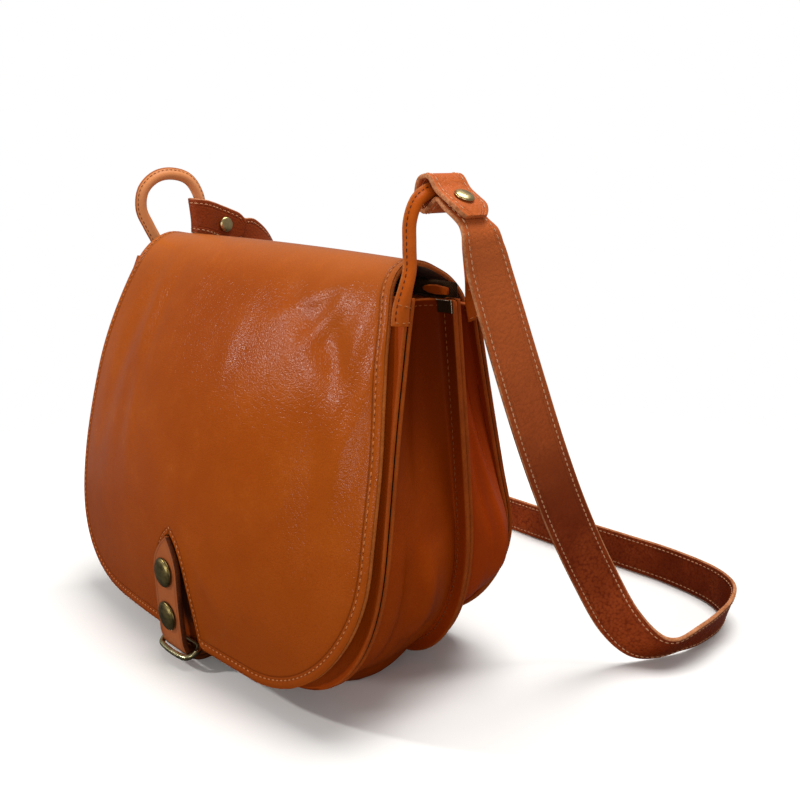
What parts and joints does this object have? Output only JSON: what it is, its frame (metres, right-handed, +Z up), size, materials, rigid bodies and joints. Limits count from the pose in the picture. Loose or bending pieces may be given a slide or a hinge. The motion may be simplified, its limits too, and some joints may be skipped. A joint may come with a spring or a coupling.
{
  "type": "crossbody bag",
  "caption": "Stuffed saddle-shaped crossbody bag in tan leather with a full front flap, a studded tab and buckle, rolled side loops and a flat shoulder strap laid behind it",
  "frame": {"origin": "on the surface that the bag stands on, at the middle of its width, under the flattened bottom of the front compartment", "axes": "+X to the viewer's right facing the flap, -Y out of the flap, +Y towards the back and the laid strap, +Z up"},
  "size_m": [0.3288, 0.2761, 0.2396],
  "materials": {
    "flap_leather": "glossy tan leather with a fine grain",
    "body_leather": "glossy tan leather with soft folds",
    "loop_leather": "rolled tan leather with a stitched edge",
    "strap_leather": "reddish brown leather with pale cut edges",
    "stud_brass": "antique brass, polished cap",
    "buckle_brass": "antique brass wire",
    "rivet_brass": "pale brass, polished cap",
    "zip_tape": "olive brown woven tape"
  },
  "bodies": {
    "root": {"flap": "flap_leather", "front_panel": "body_leather", "front_gusset": "body_leather", "divider": "body_leather", "rear_gusset": "body_leather", "back_panel": "body_leather", "closure_tab": "flap_leather", "stud_upper": "stud_brass", "stud_lower": "stud_brass", "buckle": "buckle_brass", "loop_left": "loop_leather", "loop_right": "loop_leather", "shoulder_strap": "strap_leather", "rivet_left": "rivet_brass", "rivet_right": "rivet_brass", "zip_tape": "zip_tape", "zip_pull": "body_leather"}
  },
  "joints": []
}
